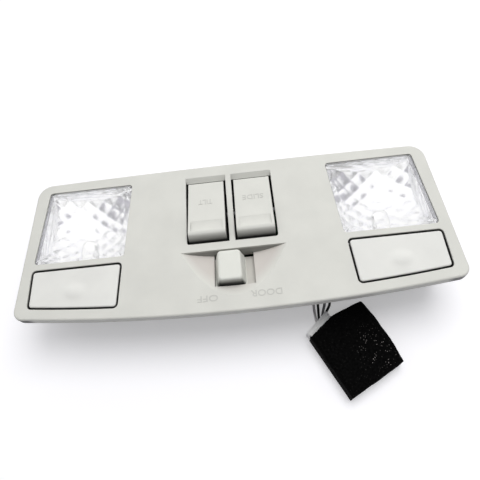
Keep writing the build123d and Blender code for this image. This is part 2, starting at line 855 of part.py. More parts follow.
slide_contact_carriage.part.label = "slide_contact_carriage"
tilt_contact_carriage.part.label = "tilt_contact_carriage"
rocker_switch_base.part.label = "rocker_switch_base"
export_step(slide_contact_carriage.part, "parts/slide_contact_carriage.step")
export_step(tilt_contact_carriage.part, "parts/tilt_contact_carriage.step")
export_step(rocker_switch_base.part, "parts/rocker_switch_base.step")

# Slide switch

shutter_length = knob_length + 2 * shutter_overlap

with BuildPart() as slider_knob:
    with BuildSketch(scoop_plane):
        with Locations((knob_x, -scoop_wall - shutter_gap - shutter_t / 2)):
            Rectangle(shutter_length, shutter_t)
    extrude(amount=scoop_length - 2 * scoop_wall)
    with BuildSketch(Plane.XY.offset(knob_foot_z)):
        with Locations((knob_x, knob_y)):
            RectangleRounded(knob_length, knob_width, knob_corner_r)
    extrude(amount=knob_shoulder_z - knob_foot_z)
    with BuildSketch(Plane.XY.offset(knob_shoulder_z)):
        with Locations((knob_x, knob_y)):
            RectangleRounded(knob_length, knob_width, knob_corner_r)
    with BuildSketch(Plane.XY.offset(knob_top_z)):
        with Locations((knob_x, knob_y)):
            RectangleRounded(knob_top_length, knob_top_width, knob_corner_r)
    loft()
    fillet(slider_knob.faces().sort_by(Axis.Z)[-1].edges(), knob_edge_r)
    with BuildSketch(Plane.XY.offset(post_z)):
        with Locations((knob_x, knob_y)):
            Rectangle(post_side, post_side)
    extrude(amount=knob_foot_z - post_z)

with BuildPart() as slider_contact:
    with BuildSketch(Plane.XZ.offset(-knob_y - contact_width / 2)):
        with Locations((knob_x, contact_z)):
            Rectangle(contact_length, contact_t, align=(Align.CENTER, Align.MIN))
        for foot_side in (-1, 1):
            with Locations((knob_x + foot_side * (contact_length / 2 - contact_foot_r), contact_z)):
                Circle(contact_foot_r)
        with Locations((knob_x, contact_z + contact_t)):
            Rectangle(contact_length, contact_foot_r, align=(Align.CENTER, Align.MIN), mode=Mode.SUBTRACT)
    extrude(amount=contact_width)

slide_base_x = knob_x + slide_travel / 2
slide_channel_length = contact_length + slide_travel + 2 * channel_gap
slide_channel_width = post_side + 2 * channel_gap

with BuildPart() as slide_switch_base:
    with BuildSketch(Plane.XY.offset(slide_base_z)):
        with Locations((slide_base_x, knob_y)):
            Rectangle(slide_channel_length + 2 * channel_wall, slide_channel_width + channel_wall)
    extrude(amount=slide_base_height)
    with BuildSketch(Plane.XY.offset(slide_base_z + slide_base_height)):
        with Locations((slide_base_x, knob_y)):
            Rectangle(slide_channel_length, slide_channel_width)
    extrude(amount=slide_floor_z - slide_base_z - slide_base_height, mode=Mode.SUBTRACT)

slider_knob.part.label = "slider_knob"
slider_contact.part.label = "slider_contact"
slide_switch_base.part.label = "slide_switch_base"
export_step(slider_knob.part, "parts/slider_knob.step")
export_step(slider_contact.part, "parts/slider_contact.step")
export_step(slide_switch_base.part, "parts/slide_switch_base.step")

# Rear housing and circuit board

deep_far_y = bezel_half_depth - deep_far_margin
deep_near_y = deep_near_margin - bezel_half_depth
deep_length = deep_far_y - deep_near_y
deep_middle_y = (deep_far_y + deep_near_y) / 2
board_half = deep_half - housing_wall - board_gap
board_length = deep_length - 2 * (housing_wall + board_gap)
standoff_x = board_half - standoff_inset
standoff_reach = board_length / 2 - standoff_inset
screw_places = [(side * x, y) for side in (-1, 1) for x, y in (far_screw, near_screw)]
roof_places = [(side * roof_screw[0], roof_screw[1]) for side in (-1, 1)]

with BuildPart() as rear_housing:
    with BuildSketch(Plane.XY.offset(pod_floor_z)):
        offset(foot_outline, -housing_inset)
    with BuildSketch(Plane.XY.offset(rim_z)):
        offset(bezel_outline, -housing_inset)
    loft(ruled=True)
    with BuildSketch():
        with Locations((0, deep_middle_y)):
            RectangleRounded(2 * deep_half, deep_length, deep_corner_r)
    extrude(amount=pod_top_z)
    with BuildSketch(Plane.XY.offset(pod_top_z)):
        offset(foot_outline, -housing_inset - housing_wall)
    with BuildSketch(Plane.XY.offset(rim_z)):
        offset(bezel_outline, -housing_inset - housing_wall)
    loft(ruled=True, mode=Mode.SUBTRACT)
    with BuildSketch(Plane.XY.offset(housing_wall)):
        with Locations((0, deep_middle_y)):
            RectangleRounded(
                2 * (deep_half - housing_wall), deep_length - 2 * housing_wall, deep_corner_r - housing_wall
            )
    extrude(amount=pod_top_z - housing_wall, mode=Mode.SUBTRACT)
    with BuildSketch(Plane.XY.offset(rim_z)):
        for side in (-1, 1):
            with Locations((side * (lug_outer_x + lug_t / 2), button_axis_y)):
                Rectangle(lug_t + 2 * lug_gap, 2 * (lug_r + lug_gap))
    extrude(amount=-lug_notch, mode=Mode.SUBTRACT)
    with BuildSketch(Plane.XY.offset(pod_floor_z)):
        with Locations(*screw_places):
            Circle(boss_r)
    extrude(amount=boss_split_z - pod_floor_z)
    with BuildSketch(Plane.XY.offset(pod_floor_z)):
        with Locations(*roof_places):
            Circle(roof_boss_r)
    extrude(amount=roof_boss_h)
    with BuildSketch(Plane.XY.offset(pod_floor_z)):
        for side in (-1, 1):
            with Locations((side * (window_middle_inner_x - lens_flange - ear_width / 2), window_middle_y)):
                Rectangle(ear_width - lens_flange, ear_length - 2 * lens_flange)
    extrude(amount=reflector_flange_z - pod_floor_z)
    with BuildSketch(Plane.XY.offset(housing_wall)):
        with Locations((0, deep_middle_y)):
            with GridLocations(2 * standoff_x, 2 * standoff_reach, 2, 2):
                Circle(standoff_r)
    extrude(amount=standoff_h)
    with BuildSketch(Plane.XY.offset(pod_floor_z)):
        with Locations(*screw_places):
            Circle(screw_r + slip)
        with Locations(*roof_places):
            Circle(roof_hole_r)
    extrude(amount=boss_split_z - pod_floor_z, mode=Mode.SUBTRACT)
    with BuildSketch(Plane.XY.offset(pod_floor_z)):
        with Locations(*screw_places):
            Circle(screw_head_r + slip)
    extrude(amount=screw_pocket_depth, mode=Mode.SUBTRACT)
    with BuildSketch(Plane.YZ.offset(deep_half)):
        with Locations((grommet_y, grommet_z)):
            Rectangle(grommet_length, grommet_height)
    extrude(amount=-housing_wall, mode=Mode.SUBTRACT)

with BuildPart() as circuit_board:
    with BuildSketch(Plane.XY.offset(board_z)):
        with Locations((0, deep_middle_y)):
            Rectangle(2 * board_half, board_length)
    extrude(amount=board_t)

with BuildPart() as housing_screws:
    for screw_place in screw_places:
        with BuildSketch(Plane.XY.offset(pod_floor_z + screw_pocket_depth)):
            with Locations(screw_place):
                Circle(screw_head_r)
        extrude(amount=-screw_head_t)
        with BuildSketch(Plane.XY.offset(pod_floor_z + screw_pocket_depth)):
            with Locations(screw_place):
                Circle(screw_r)
        extrude(amount=screw_length)
        with BuildSketch(Plane.XY.offset(pod_floor_z + screw_pocket_depth - screw_head_t)):
            with Locations(screw_place):
                Rectangle(2 * screw_head_r, screw_slot_w)
        extrude(amount=screw_head_t / 2, mode=Mode.SUBTRACT)

rear_housing.part.label = "rear_housing"
circuit_board.part.label = "circuit_board"
housing_screws.part.label = "housing_screws"
export_step(rear_housing.part, "parts/rear_housing.step")
export_step(circuit_board.part, "parts/circuit_board.step")
export_step(housing_screws.part, "parts/housing_screws.step")

# Bus bars: brass strips from the board, over the step in the floor, up to the bulb sockets

socket_underside_z = bulb_z - socket_body_r
bar_inner_x = board_half - standoff_inset - standoff_r
bar_y = reflector_near_y - socket_flange_t - socket_body_length / 2

with BuildPart() as right_bus_bar:
    with BuildSketch(Plane.XZ.offset(-bar_y - bar_width / 2)):
        with Locations((bar_inner_x, pod_top_z)):
            Rectangle(bowl_x - bar_inner_x, bar_t, align=(Align.MIN, Align.MIN))
        with Locations((bar_inner_x, board_top_z)):
            Rectangle(bar_t, pod_top_z + bar_t - board_top_z, align=(Align.MIN, Align.MIN))
        with Locations((bowl_x, pod_top_z)):
            Rectangle(bar_t, socket_underside_z - pod_top_z, align=(Align.MAX, Align.MIN))
    extrude(amount=bar_width)

with BuildPart() as left_bus_bar:
    mirror(right_bus_bar.part, about=Plane.YZ)

right_bus_bar.part.label = "right_bus_bar"
left_bus_bar.part.label = "left_bus_bar"
export_step(right_bus_bar.part, "parts/right_bus_bar.step")
export_step(left_bus_bar.part, "parts/left_bus_bar.step")

# Grommet, wires, connector and foam

with BuildPart() as wire_grommet:
    with BuildSketch(Plane.YZ.offset(deep_half - housing_wall)):
        with Locations((grommet_y, grommet_z)):
            Rectangle(grommet_length, grommet_height)
    extrude(amount=housing_wall)
    with BuildSketch(Plane.YZ.offset(deep_half)):
        with Locations((grommet_y, grommet_z)):
            RectangleRounded(grommet_length + 2 * grommet_lip, grommet_height + grommet_lip, grommet_lip)
    extrude(amount=grommet_lip)
    with BuildSketch(Plane.YZ.offset(deep_half - housing_wall)):
        for _, exit_y, exit_z in wire_exits:
            with Locations((exit_y, exit_z)):
                Circle(wire_r + slip)
    extrude(amount=housing_wall + grommet_lip, mode=Mode.SUBTRACT)

wire_grommet.part.label = "wire_grommet"
export_step(wire_grommet.part, "parts/wire_grommet.step")


def bend_radii(route):
    """Largest arc at each corner of a route that its two runs leave room for."""
    points = [Vector(*point) for point in route]
    radii = []
    for before, corner, after in zip(points, points[1:], points[2:]):
        turn = radians((corner - before).get_angle(after - corner))
        shorter = min((corner - before).length, (after - corner).length)
        radii.append(bend_share * shorter / tan(turn / 2))
    return radii


for wire_name, route in wire_routes.items():
    radii = bend_radii(route)
    print(wire_name, "bend radii", [round(radius, 1) for radius in radii])
    with BuildPart() as wire:
        with BuildLine() as wire_path:
            FilletPolyline(*route, radius=radii)
        with BuildSketch(Plane(origin=wire_path.line @ 0, z_dir=wire_path.line % 0)):
            Circle(wire_r)
        sweep()
    wire_length = sum(edge.length for edge in wire_path.edges())
    ideal_volume = pi * wire_r**2 * wire_length
    volume_share = wire.part.volume / ideal_volume
    print(wire_name, "length", round(wire_length, 2), "volume share", round(volume_share, 4))
    wire.part.label = wire_name
    export_step(wire.part, f"parts/{wire_name}.step")

with BuildPart() as harness_connector:
    with BuildSketch(connector_plane):
        RectangleRounded(connector_width, connector_height, connector_rim)
    extrude(amount=connector_length)
    with BuildSketch(connector_plane):
        RectangleRounded(
            connector_width + 2 * connector_rim, connector_height + 2 * connector_rim, 2 * connector_rim
        )
    extrude(amount=connector_rim_length)

foam_right = (Vector(*foam_corners[2]) + Vector(*foam_corners[3])) * 0.5 + Vector(foam_bulge, 0)

with BuildPart() as foam_wrap:
    with BuildSketch():
        with BuildLine():
            Polyline(*foam_corners[3:], *foam_corners[:3])
            ThreePointArc(foam_corners[2], foam_right, foam_corners[3])
        make_face()
    extrude(amount=foam_height)
    fillet(foam_wrap.faces().sort_by(Axis.Z)[-1].edges(), foam_edge_r)
    with BuildSketch(connector_plane):
        RectangleRounded(
            connector_width + 2 * connector_rim + 2 * foam_slack,
            connector_height + 2 * connector_rim + 2 * foam_slack,
            2 * connector_rim,
        )
    extrude(amount=connector_length, mode=Mode.SUBTRACT)

harness_connector.part.label = "harness_connector"
foam_wrap.part.label = "foam_wrap"
export_step(harness_connector.part, "parts/harness_connector.step")
export_step(foam_wrap.part, "parts/foam_wrap.step")
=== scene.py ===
import json
import math

import bmesh
import bpy
from mathutils import Matrix, Vector, noise
from mathutils.bvhtree import BVHTree


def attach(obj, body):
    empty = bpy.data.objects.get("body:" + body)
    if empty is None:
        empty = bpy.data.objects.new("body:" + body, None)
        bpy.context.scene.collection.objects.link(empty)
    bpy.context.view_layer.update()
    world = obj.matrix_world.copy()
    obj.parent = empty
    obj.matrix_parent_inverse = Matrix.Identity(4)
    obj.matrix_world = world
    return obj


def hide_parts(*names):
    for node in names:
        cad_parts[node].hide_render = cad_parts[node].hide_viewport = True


# Looks for the overhead map-light console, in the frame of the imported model. Lengths on the object are
# written in millimetres and turned into Blender's metres with MM. The studio is in metres.
MM = 0.001

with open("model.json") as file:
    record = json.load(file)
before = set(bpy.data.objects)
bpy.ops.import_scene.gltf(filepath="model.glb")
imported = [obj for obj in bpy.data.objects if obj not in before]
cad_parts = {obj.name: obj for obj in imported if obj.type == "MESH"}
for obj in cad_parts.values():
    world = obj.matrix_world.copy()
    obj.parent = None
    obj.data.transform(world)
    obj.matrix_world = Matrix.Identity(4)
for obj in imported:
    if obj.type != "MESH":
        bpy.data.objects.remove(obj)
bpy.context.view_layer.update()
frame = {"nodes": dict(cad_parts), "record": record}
nodes = frame["nodes"]
scene = bpy.context.scene
scene.view_settings.view_transform = "Standard"


def linear(red, green, blue):
    """A screen colour given in 0 to 255 as the linear numbers that a shader takes."""
    shares = (red / 255, green / 255, blue / 255)
    return tuple(s / 12.92 if s <= 0.04045 else ((s + 0.055) / 1.055) ** 2.4 for s in shares) + (1.0,)


def tinted(colour, factor):
    """A colour made darker or lighter by a factor."""
    return tuple(c * factor for c in colour[:3]) + (1.0,)


# Camera: as solved from the photograph

CAMERA_PLACE = Vector((13.37, -105.98, 238.59)) * MM
CAMERA_RIGHT = Vector((0.99357, -0.07537, -0.08447))
CAMERA_FORWARD = Vector((-0.04211, 0.44656, -0.89376))
FOCAL_LENGTH = 32.25
SENSOR = 36.0
CLIP_START = 0.01

camera = bpy.data.objects.new("camera", bpy.data.cameras.new("camera"))
scene.collection.objects.link(camera)
forward = CAMERA_FORWARD.normalized()
right = (CAMERA_RIGHT - forward * CAMERA_RIGHT.dot(forward)).normalized()
up = right.cross(forward)
turn = Matrix((right, up, -forward)).transposed().to_4x4()
camera.matrix_world = Matrix.Translation(CAMERA_PLACE) @ turn
camera.data.lens = FOCAL_LENGTH
camera.data.sensor_width = SENSOR
camera.data.clip_start = CLIP_START
scene.camera = camera


# Node trees

NOISE_LOW = 0.3
NOISE_HIGH = 0.7


class Tree:
    """A node tree, with short calls for the nodes that it uses."""

    def __init__(self, tree):
        self.tree = tree

    def node(self, kind, **settings):
        made = self.tree.nodes.new(kind)
        for key, value in settings.items():
            setattr(made, key, value)
        return made

    def feed(self, source, target):
        """Gives an input another node's output, or a plain number, vector or colour."""
        if isinstance(source, bpy.types.NodeSocket):
            self.tree.links.new(source, target)
        else:
            target.default_value = source

    def maths(self, operation, *values):
        """The result of an operation on outputs or numbers."""
        made = self.node("ShaderNodeMath", operation=operation)
        for value, socket in zip(values, made.inputs):
            self.feed(value, socket)
        return made.outputs[0]

    def all_of(self, *shares):
        """The product of several shares."""
        product = shares[0]
        for share in shares[1:]:
            product = self.maths("MULTIPLY", product, share)
        return product

    def any_of(self, *shares):
        """The largest of several shares."""
        largest = shares[0]
        for share in shares[1:]:
            largest = self.maths("MAXIMUM", largest, share)
        return largest

    def ramp(self, value, start, stop, low=0.0, high=1.0, smooth=False):
        """A number that goes from low to high as a value goes from start to stop."""
        made = self.node("ShaderNodeMapRange")
        if smooth:
            made.interpolation_type = "SMOOTHSTEP"
        for key, number in (("From Min", start), ("From Max", stop), ("To Min", low), ("To Max", high)):
            made.inputs[key].default_value = number
        self.feed(value, made.inputs["Value"])
        return made.outputs["Result"]

    def component(self, vector, axis, size=False):
        """How far a vector goes along an axis, or the size of that."""
        made = self.node("ShaderNodeSeparateXYZ")
        self.feed(vector, made.inputs["Vector"])
        return self.maths("ABSOLUTE", made.outputs[axis]) if size else made.outputs[axis]

    def length(self, vector):
        made = self.node("ShaderNodeVectorMath", operation="LENGTH")
        self.feed(vector, made.inputs[0])
        return made.outputs["Value"]

    def mixed(self, share, first, second):
        """A colour from first to second by a share."""
        made = self.node("ShaderNodeMix", data_type="RGBA")
        self.feed(share, made.inputs["Factor"])
        for key, colour in (("A", first), ("B", second)):
            self.feed(colour, next(s for s in made.inputs if s.name == key and s.type == "RGBA"))
        return next(s for s in made.outputs if s.type == "RGBA")

    def mixed_shader(self, share, first, second):
        """A surface or sky from first to second by a share."""
        made = self.node("ShaderNodeMixShader")
        for source, socket in zip((share, first, second), made.inputs):
            self.feed(source, socket)
        return made.outputs["Shader"]


class Shader(Tree):
    """One material with its node tree."""

    def __init__(self, name):
        self.material = bpy.data.materials.new(name)
        self.material.use_nodes = True
        super().__init__(self.material.node_tree)
        self.surface = self.tree.nodes["Principled BSDF"]
        self.output = self.tree.nodes["Material Output"]

    def give(self, key, value):
        """Gives one input of the surface a value."""
        self.feed(value, self.surface.inputs[key])

    def place(self):
        """Where a point lies on the object, in metres."""
        return self.node("ShaderNodeTexCoord").outputs["Object"]

    def noise(self, size, detail=2.0, rough=0.5, stretch=None):
        """Noise with features of a size in millimetres."""
        made = self.node("ShaderNodeTexNoise")
        made.inputs["Scale"].default_value = 1 / (size * MM)
        made.inputs["Detail"].default_value = detail
        made.inputs["Roughness"].default_value = rough
        place = self.place()
        if stretch:
            mapping = self.node("ShaderNodeMapping")
            mapping.inputs["Scale"].default_value = stretch
            self.feed(place, mapping.inputs["Vector"])
            place = mapping.outputs["Vector"]
        self.feed(place, made.inputs["Vector"])
        return made.outputs["Fac"]

    def between(self, share, low=0.0, high=1.0):
        """A number that goes from low to high as a noise goes through its usual range."""
        return self.ramp(share, NOISE_LOW, NOISE_HIGH, low, high)

    def along(self, axis, span, low=0.0, high=1.0, size=False):
        """A number that goes from low to high over a span of places along an axis, in millimetres.

        With size, the places are distances from the middle plane.
        """
        start, stop = span
        return self.ramp(self.component(self.place(), axis, size), start * MM, stop * MM, low, high)

    def faces(self, axis, span, low=0.0, high=1.0, size=False):
        """A number that goes from low to high as a surface turns to face an axis, or either way along it."""
        normal = self.node("ShaderNodeTexCoord").outputs["Normal"]
        return self.ramp(self.component(normal, axis, size), *span, low, high)

    def tone(self, share, colour):
        """Turns the base colour towards another by a share."""
        first = self.surface.inputs["Base Color"].links[0].from_socket
        self.give("Base Color", self.mixed(share, first, colour))

    def bump(self, height, depth):
        """Bump of a depth in millimetres."""
        made = self.node("ShaderNodeBump")
        made.inputs["Distance"].default_value = depth * MM
        self.feed(height, made.inputs["Height"])
        self.give("Normal", made.outputs["Normal"])


# Finishes

CLOUD_SIZE = 14.0
GLOSS_SIZE = 3.0
GLOSS_SPREAD = 0.05
DRAWN_LINE = 0.8
DRAWN_DEPTH = 0.01
HAZE_SIZE = 6.0
HAZE_SPREAD = 0.03
COAT_CLOUD_SIZE = 9.0
COAT_GLOSS_SIZE = 4.0
ACRYLIC_INDEX = 1.49
THIN_GLASS_INDEX = 1.3


def plastic(name, colour, rough, grain=0.6, depth=0.03, blotch=0.04):
    """Moulded plastic with a fine grain and faint cloudy change in colour and gloss."""
    made = Shader(name)
    clouds = made.between(made.noise(CLOUD_SIZE, detail=3.0))
    made.give("Base Color", made.mixed(clouds, tinted(colour, 1 - blotch), tinted(colour, 1 + blotch / 2)))
    made.give("Roughness", made.between(made.noise(GLOSS_SIZE), rough - GLOSS_SPREAD, rough + GLOSS_SPREAD))
    made.bump(made.noise(grain, detail=4.0, rough=0.6), depth)
    made.give("Specular IOR Level", 0.4)
    return made


def metal(name, colour, rough, stretch):
    """Metal strip or rod with fine drawing lines."""
    made = Shader(name)
    lines = made.noise(DRAWN_LINE, detail=3.0, stretch=stretch)
    made.give("Base Color", made.mixed(made.between(lines), tinted(colour, 0.85), colour))
    made.give("Roughness", made.between(lines, rough - 0.06, rough + 0.08))
    made.bump(lines, DRAWN_DEPTH)
    made.give("Metallic", 1.0)
    return made


def clear(name, colour, rough, index):
    """Clear plastic or glass that lets lamps through to what lies behind it."""
    made = Shader(name)
    made.give("Base Color", colour)
    made.give("Transmission Weight", 1.0)
    made.give("IOR", index)
    made.give("Roughness", made.between(made.noise(HAZE_SIZE), rough, rough + HAZE_SPREAD))
    rays = made.node("ShaderNodeLightPath").outputs
    made.feed(
        made.mixed_shader(
            made.any_of(rays["Is Shadow Ray"], rays["Is Diffuse Ray"]),
            made.surface.outputs["BSDF"],
            made.node("ShaderNodeBsdfTransparent").outputs["BSDF"],
        ),
        made.output.inputs["Surface"],
    )
    return made


def metallised(name, rough):
    """Bright vacuum-metallised coat with faint clouds in its colour and gloss."""
    made = Shader(name)
    clouds = made.between(made.noise(COAT_CLOUD_SIZE))
    made.give("Base Color", made.mixed(clouds, linear(252, 252, 254), linear(255, 255, 255)))
    made.give("Roughness", made.between(made.noise(COAT_GLOSS_SIZE), rough, rough * 1.6))
    made.give("Metallic", 1.0)
    return made


BEZEL_GREY = linear(217, 217, 210)
BUTTON_GREY = linear(229, 229, 224)
KNOB_GREY = linear(226, 227, 219)
# Painted shade: the letters are a darker grey than the bezel for the shade of their raised strokes
LETTER_SHADE_GREY = linear(200, 200, 194)
EDGE_SHADE_GREY = linear(180, 180, 184)
CLEAR_WHITE = (1.0, 1.0, 1.0, 1.0)
BULB_WHITE = (1.0, 1.0, 0.99, 1.0)

bezel_plastic = plastic("bezel_plastic", BEZEL_GREY, 0.5)
button_plastic = plastic("button_plastic", BUTTON_GREY, 0.42, grain=0.5, depth=0.015)
rocker_plastic = plastic("rocker_plastic", BEZEL_GREY, 0.42, grain=0.5, depth=0.015)
knob_plastic = plastic("knob_plastic", KNOB_GREY, 0.4, grain=0.5, depth=0.015)
letter_shade_grey = plastic("letter_shade_grey", LETTER_SHADE_GREY, 0.5)
housing_plastic = plastic("housing_plastic", linear(84, 84, 86), 0.55, grain=1.0, depth=0.04)
switch_plastic = plastic("switch_plastic", linear(40, 40, 42), 0.5)
socket_plastic = plastic("socket_plastic", linear(200, 196, 186), 0.5)
connector_plastic = plastic("connector_plastic", linear(250, 250, 248), 0.45)
board = plastic("board", linear(38, 92, 56), 0.35, grain=0.4, depth=0.01)
grommet_rubber = plastic("grommet_rubber", linear(34, 34, 35), 0.75, grain=0.5, depth=0.03)
white_cover = plastic("white_cover", linear(250, 248, 245), 0.45, grain=0.3, depth=0.01)
grey_cover = plastic("grey_cover", linear(150, 150, 152), 0.45, grain=0.3, depth=0.01)
black_cover = plastic("black_cover", linear(26, 26, 27), 0.4, grain=0.3, depth=0.01)
steel = metal("steel", linear(190, 190, 192), 0.35, (1.0, 1.0, 12.0))
brass = metal("brass", linear(214, 178, 96), 0.3, (0.1, 1.0, 1.0))
mirror_coat = metallised("mirror_coat", 0.03)
bulb_glass = clear("bulb_glass", BULB_WHITE, 0.0, THIN_GLASS_INDEX)
clear_lens = clear("clear_lens", CLEAR_WHITE, 0.15, ACRYLIC_INDEX)
# Painted shade: a grey, partly clear copy of the lens finish for the outer bevel
shaded_lens_edge = clear("shaded_lens_edge", EDGE_SHADE_GREY, 0.25, ACRYLIC_INDEX)
shaded_lens_edge.give("Transmission Weight", 0.55)


# Recesses: painted shade in the gaps, on the sides and near faces of the rockers, on the knob's near face
# and on the scoop's far wall, and a painted darker shade on the slope of the scoop.
# Each span goes from where a shade starts to where it is full.

# Painted shade: a near-black laid on the walls of the gaps, the sides and near faces of the rockers, the
# knob's near face and the scoop's far wall
PAINTED_SHADE = linear(13, 13, 11)
# Painted shade: the pinkish grey that darkens the scoop's pan
PAN_SHADE_GREY = linear(205, 200, 194)
SHUTTER_GREY = linear(196, 193, 186)

UPRIGHT = (0.6, 0.3)
FACE_UP = (0.7, 0.9)
FACE_NEAR = (-0.45, -0.85)
FACE_SIDE = (0.5, 0.85)

END_TAPER = 0.048
INSIDE_ENDS = (110.7, 110.4)
INSIDE_EDGES = (38.4, 38.0)
BEZEL_GAP = (37.9, 36.6)
SCOOP_NEAR = (-12.8, -12.4)
SCOOP_FAR = (-7.4, -7.8)
SCOOP_SIDES = (46.0, 45.0)
PAN_DEPTH = (37.95, 36.0)
BUTTON_GAP = (37.7, 37.0)
ROCKER_NOSE = (41.6, 37.6)
KNOB_NOSE = (42.0, 38.4)
SHUTTER_START = (5.4, 5.8)

GAP_SHARE = 0.95
SCOOP_SHARE = 0.62
NOSE_SHARE = 0.93
ROCKER_NOSE_TOP = 0.3
KNOB_NOSE_TOP = 0.1

inside_scoop = bezel_plastic.all_of(
    bezel_plastic.along("Y", SCOOP_FAR), bezel_plastic.along("X", SCOOP_SIDES, size=True)
)
# Painted shade on the scoop's pan, which faces up inside the scoop
bezel_plastic.tone(
    bezel_plastic.all_of(
        bezel_plastic.faces("Z", FACE_UP), bezel_plastic.along("Z", PAN_DEPTH), inside_scoop
    ),
    PAN_SHADE_GREY,
)
scoop_wall = bezel_plastic.all_of(bezel_plastic.along("Y", SCOOP_NEAR), inside_scoop)
from_end = bezel_plastic.maths(
    "MULTIPLY_ADD",
    bezel_plastic.component(bezel_plastic.place(), "Y"),
    END_TAPER,
    bezel_plastic.component(bezel_plastic.place(), "X", size=True),
)
# Painted shade on the bezel's upright walls below the face inside its gaps, lighter on the scoop's far wall
bezel_plastic.tone(
    bezel_plastic.all_of(
        bezel_plastic.faces("Z", UPRIGHT, size=True),
        bezel_plastic.along("Z", BEZEL_GAP),
        bezel_plastic.ramp(from_end, *(place * MM for place in INSIDE_ENDS)),
        bezel_plastic.along("Y", INSIDE_EDGES, size=True),
        bezel_plastic.ramp(scoop_wall, 0.0, 1.0, GAP_SHARE, SCOOP_SHARE),
    ),
    PAINTED_SHADE,
)
# Painted shade on the buttons' upright sides below their tops
button_plastic.tone(
    button_plastic.all_of(
        button_plastic.faces("Z", UPRIGHT, size=True), button_plastic.along("Z", BUTTON_GAP, 0.0, GAP_SHARE)
    ),
    PAINTED_SHADE,
)
# Painted shade on the rockers' sides, and on their near faces darker towards the foot
rocker_plastic.tone(rocker_plastic.faces("X", FACE_SIDE, 0.0, GAP_SHARE, size=True), PAINTED_SHADE)
rocker_plastic.tone(
    rocker_plastic.all_of(
        rocker_plastic.faces("Y", FACE_NEAR),
        rocker_plastic.along("Z", ROCKER_NOSE, ROCKER_NOSE_TOP, NOSE_SHARE),
    ),
    PAINTED_SHADE,
)
# Painted shade on the knob's near face, darker towards the foot
knob_plastic.tone(
    knob_plastic.all_of(
        knob_plastic.faces("Y", FACE_NEAR), knob_plastic.along("Z", KNOB_NOSE, KNOB_NOSE_TOP, NOSE_SHARE)
    ),
    PAINTED_SHADE,
)
knob_plastic.tone(knob_plastic.along("X", SHUTTER_START), SHUTTER_GREY)


# The solids that stay get their finish; the wires and the foam are replaced further down

finishes = {
    "bezel_plastic": bezel_plastic,
    "housing_plastic": housing_plastic,
    "clear_lens": clear_lens,
    "mirror_coat": mirror_coat,
    "bulb_glass": bulb_glass,
    "socket_plastic": socket_plastic,
    "button_plastic": button_plastic,
    "rocker_plastic": rocker_plastic,
    "knob_plastic": knob_plastic,
    "switch_plastic": switch_plastic,
    "steel": steel,
    "brass": brass,
    "board": board,
    "grommet_rubber": grommet_rubber,
    "connector_plastic": connector_plastic,
}
for subpart in frame["record"]["subparts"]:
    finish = finishes.get(subpart["material_slot"])
    if finish:
        node = nodes[subpart["node"]]
        node.data.materials.clear()
        node.data.materials.append(finish.material)


def new_piece(name, data, shader, body):
    """A mesh or curve as a piece of the object that rides on a body."""
    piece = bpy.data.objects.new(name, data)
    scene.collection.objects.link(piece)
    piece.data.materials.clear()
    piece.data.materials.append(shader.material)
    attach(piece, body)
    return piece


def evaluated_mesh(source):
    """An object as a mesh, with its modifiers or its text worked out. The object is removed."""
    bpy.context.view_layer.update()
    made = bpy.data.meshes.new_from_object(source.evaluated_get(bpy.context.evaluated_depsgraph_get()))
    bpy.data.objects.remove(source)
    return made


SIDES = (("left", -1), ("right", 1))
FACING_UP = 0.3

# Reflector bowls: each flat facet of the solid gets the shallow pillow of a moulded one

FACET_HALF_LONG = 4.9
FACET_HALF_SHORT = 3.65
BOWL_X = 80.6
BOWL_Y = 14.4
BOWL_Z = 13.5
BOWL_RISE_X = 0.0125
BOWL_RISE_Y = BOWL_RISE_X * (FACET_HALF_LONG / FACET_HALF_SHORT) ** 2
PILLOW_HEIGHT = 0.62
PILLOW_STEP = 0.25
PILLOW_REACH = 12.0
ON_BOWL = 0.03
WELD = 0.002
CUT_SNAP = 0.001
SHARP_ANGLE = math.radians(24)


def bowl_height(across, along):
    """Height of the faceted bowl, and of its pillow, at a place from the bowl's middle."""
    u = across / FACET_HALF_LONG + along / FACET_HALF_SHORT
    v = across / FACET_HALF_LONG - along / FACET_HALF_SHORT
    u_middle = 2 * round(u / 2)
    v_middle = 2 * round(v / 2)
    x = (u_middle + v_middle) / 2 * FACET_HALF_LONG
    y = (u_middle - v_middle) / 2 * FACET_HALF_SHORT
    flat = BOWL_Z + BOWL_RISE_X * x * (2 * across - x) + BOWL_RISE_Y * y * (2 * along - y)
    pillow = PILLOW_HEIGHT * (1 - (u - u_middle) ** 2) * (1 - (v - v_middle) ** 2)
    return flat, pillow


